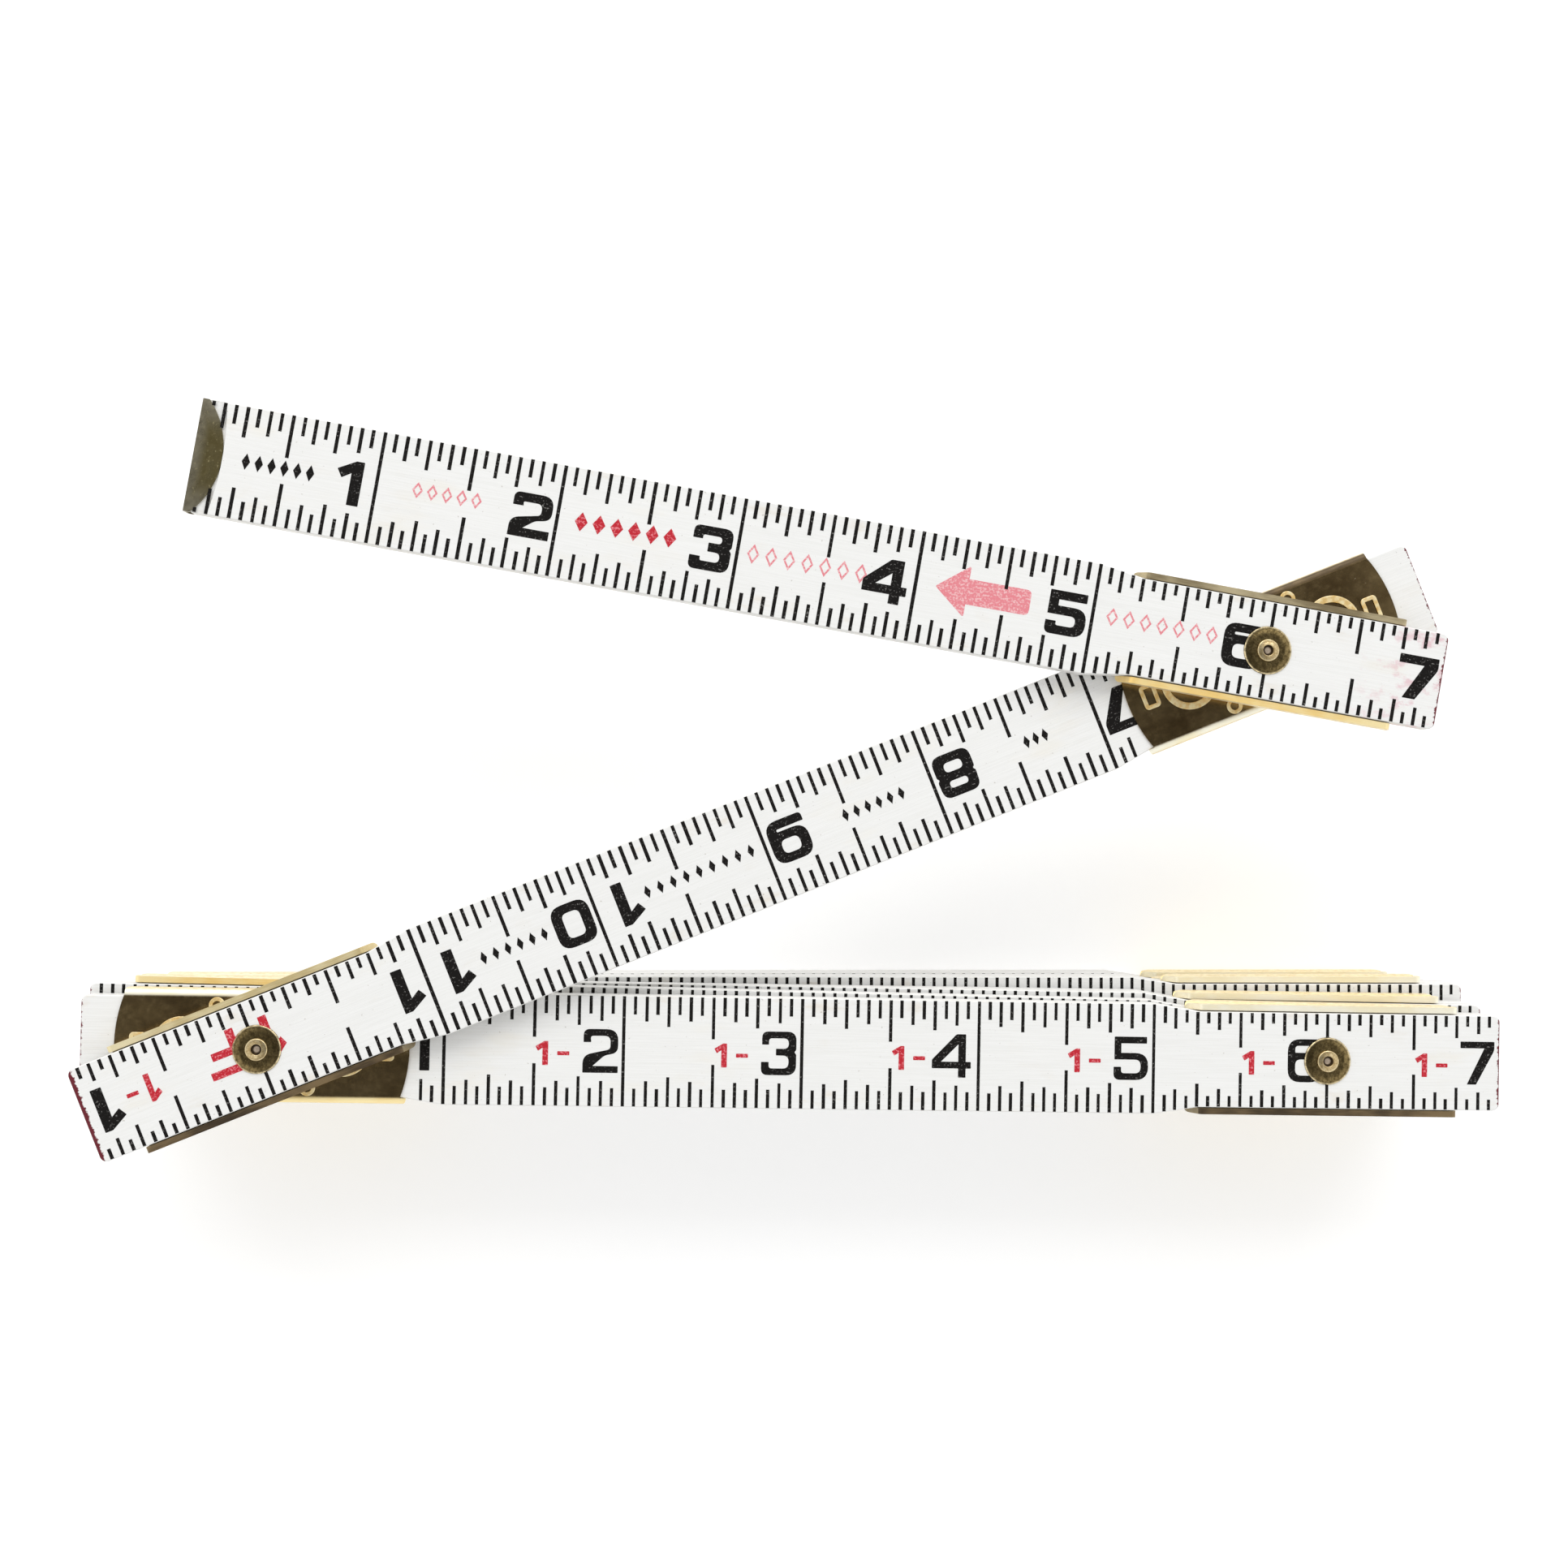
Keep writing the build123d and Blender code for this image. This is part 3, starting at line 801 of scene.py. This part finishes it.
def diamond(u, v, wide, tall, wall=None):
    """The outlines of a diamond, with a hole in it if its wall is given."""
    outer = [(u - wide / 2, v), (u, v - tall / 2), (u + wide / 2, v), (u, v + tall / 2)]
    if wall is None:
        return [outer]
    inset = wall * sqrt(wide**2 + tall**2)
    inner_wide, inner_tall = wide - 2 * inset / tall, tall - 2 * inset / wide
    return [outer, *diamond(u, v, inner_wide, inner_tall)]


def diamond_row(ink_print, start, stop, v, count, size, wall=None):
    for index in range(count):
        u = start + (stop - start) * (index + 0.5) / count
        ink_print.outline(diamond(u, v, *size, wall), False)


def end_arrow(ink_print, tip, v, length, head, shaft):
    """A block arrow that points to the zero end."""
    neck = tip + head
    half = [
        (tip, 0, 0.3), (neck, -head * 0.8, 0.5), (neck, -shaft / 2, 0),
        (tip + length, -shaft / 2, 0.8),
    ]
    corners = half + [(u, -y, radius) for u, y, radius in reversed(half[1:])]
    ink_print.outline([[(u, v + y) for u, y in rounded(corners)]], False)


draw = Random(7)
for number, blade in blades.items():
    black, red = Print(f"ink_black_{number:02d}", blade), Print(f"ink_red_{number:02d}", blade)
    for under in (False, True):
        graduate(black, blade, under, draw)
        number_inches(black, red, blade, under)
    for ink_print, rows in ((black, BLACK_ROWS), (red, RED_ROWS)):
        for row in rows.get(number, []):
            diamond_row(ink_print, *row)
    if blade.first:
        pale = Print("ink_pale_red_01", blade, Print.UNDERPRINT)
        for row in PALE_ROWS:
            diamond_row(pale, *row)
        end_arrow(pale, *ARROW)
        pale.make(ink("pale_red_ink", blade, *PALE_RED_INK))
    black.make(ink("black_ink", blade, *BLACK_INK))
    red.make(ink("red_ink", blade, *RED_INK))


# ---- rivets ----
# The radius of each ring of a core, and its height from the rivet's top, in millimetres.
CORE_RINGS = [(0.76, -0.80), (0.76, -0.52), (0.60, -0.47), (0.40, -0.43), (0.18, -0.41)]
CORE_SIDES = 32


def add_rivet_core(number):
    """The low dome that closes a hollow rivet a little under its rim."""
    blade = blades[number + 1]
    low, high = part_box(f"joint_{number:02d}_eyelet")
    middle = (low + high) / 2
    turns = [2 * pi * side / CORE_SIDES for side in range(CORE_SIDES)]
    points = [
        (middle.x + r / 1000 * cos(turn), middle.y + r / 1000 * sin(turn), high.z + z / 1000)
        for r, z in CORE_RINGS for turn in turns]
    faces = [tuple(reversed(range(CORE_SIDES)))]
    for start in range(0, len(points) - CORE_SIDES, CORE_SIDES):
        for side in range(CORE_SIDES):
            here, after = start + side, start + (side + 1) % CORE_SIDES
            faces.append((here, after, after + CORE_SIDES, here + CORE_SIDES))
    faces.append(tuple(range(len(points) - CORE_SIDES, len(points))))
    mesh = bpy.data.meshes.new(f"rivet_core_{number:02d}")
    mesh.from_pydata(points, [], faces)
    mesh.materials.append(core_metal(mesh.name, blade))
    core = add_object(mesh.name, mesh)
    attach(core, blade.body)


for number in range(1, BLADES):
    add_rivet_core(number)


# ---- floor, lights and camera ----
FLOOR_REACH = 3.0
FLOOR_DROP = 0.00005
FLOOR_GLOW = 0.32
KEY_SPOT, KEY_TARGET, KEY_SIZE, KEY_POWER = (0.0, 2.3, 1.9), (0, 0, 0.02), (3.6, 1.8), 50.0
# The room is bright all round and falls off to a dark zenith, between two heights of the sky.
ZENITH_FROM, ZENITH_TO, ROOM_STRENGTH, ZENITH_STRENGTH = 0.80, 0.95, 1.04, 0.10
CAMERA_SPOT = (-0.012902, -0.004592, 0.281302)
CAMERA_TURN = (0.016815, -0.042194, -0.000709)
SENSOR_WIDTH, FOCAL_LENGTH, NEAR_CLIP = 36.0, 40.04, 0.01


def add_floor():
    """A plain pale floor, just under the object and the ink on its underside."""
    look = Look("pale_floor", Roughness=0.9, Emission_Color=(1, 1, 1, 1),
                Emission_Strength=FLOOR_GLOW)
    place = look.add("ShaderNodeTexCoord").outputs["Object"]
    look.set("Base Color", look.mottle(look.noise(place, 6.0, 2.0), 0.3, 0.7, FLOOR))
    far = FLOOR_REACH
    mesh = bpy.data.meshes.new("floor")
    corners = [(-far, -far, 0), (far, -far, 0), (far, far, 0), (-far, far, 0)]
    mesh.from_pydata(corners, [], [(0, 1, 2, 3)])
    mesh.materials.append(look.material)
    floor = add_object("floor", mesh)
    floor.location.z = -FLOOR_DROP


def add_key():
    """A wide soft box behind the object, facing it."""
    light = bpy.data.lights.new("key", "AREA")
    light.shape = "RECTANGLE"
    light.size, light.size_y = KEY_SIZE
    light.energy = KEY_POWER
    lamp = add_object("key", light)
    lamp.location = KEY_SPOT
    way = Vector(KEY_TARGET) - Vector(KEY_SPOT)
    lamp.rotation_euler = way.to_track_quat("-Z", "Y").to_euler()


def add_room():
    """White light from all round, with a dark zenith for the brass to reflect."""
    world = bpy.data.worlds.new("room")
    world.use_nodes = True
    sky = world.node_tree
    place = sky.nodes.new("ShaderNodeTexCoord")
    split = sky.nodes.new("ShaderNodeSeparateXYZ")
    strength = sky.nodes.new("ShaderNodeMapRange")
    strength.interpolation_type = "SMOOTHSTEP"
    limits = (ZENITH_FROM, ZENITH_TO, ROOM_STRENGTH, ZENITH_STRENGTH)
    for index, value in enumerate(limits, 1):
        strength.inputs[index].default_value = value
    background = sky.nodes["Background"]
    background.inputs["Color"].default_value = (1, 1, 1, 1)
    sky.links.new(place.outputs["Generated"], split.inputs[0])
    sky.links.new(split.outputs["Z"], strength.inputs[0])
    sky.links.new(strength.outputs[0], background.inputs["Strength"])
    bpy.context.scene.world = world
    bpy.context.scene.view_settings.view_transform = "Standard"


def add_camera():
    """The camera that was fitted to the photograph's inch lines."""
    lens = bpy.data.cameras.new("camera")
    lens.sensor_width = SENSOR_WIDTH
    lens.lens = FOCAL_LENGTH
    lens.clip_start = NEAR_CLIP
    camera = add_object("camera", lens)
    camera.location = CAMERA_SPOT
    camera.rotation_euler = Euler(CAMERA_TURN)
    bpy.context.scene.camera = camera


add_floor()
add_key()
add_room()
add_camera()
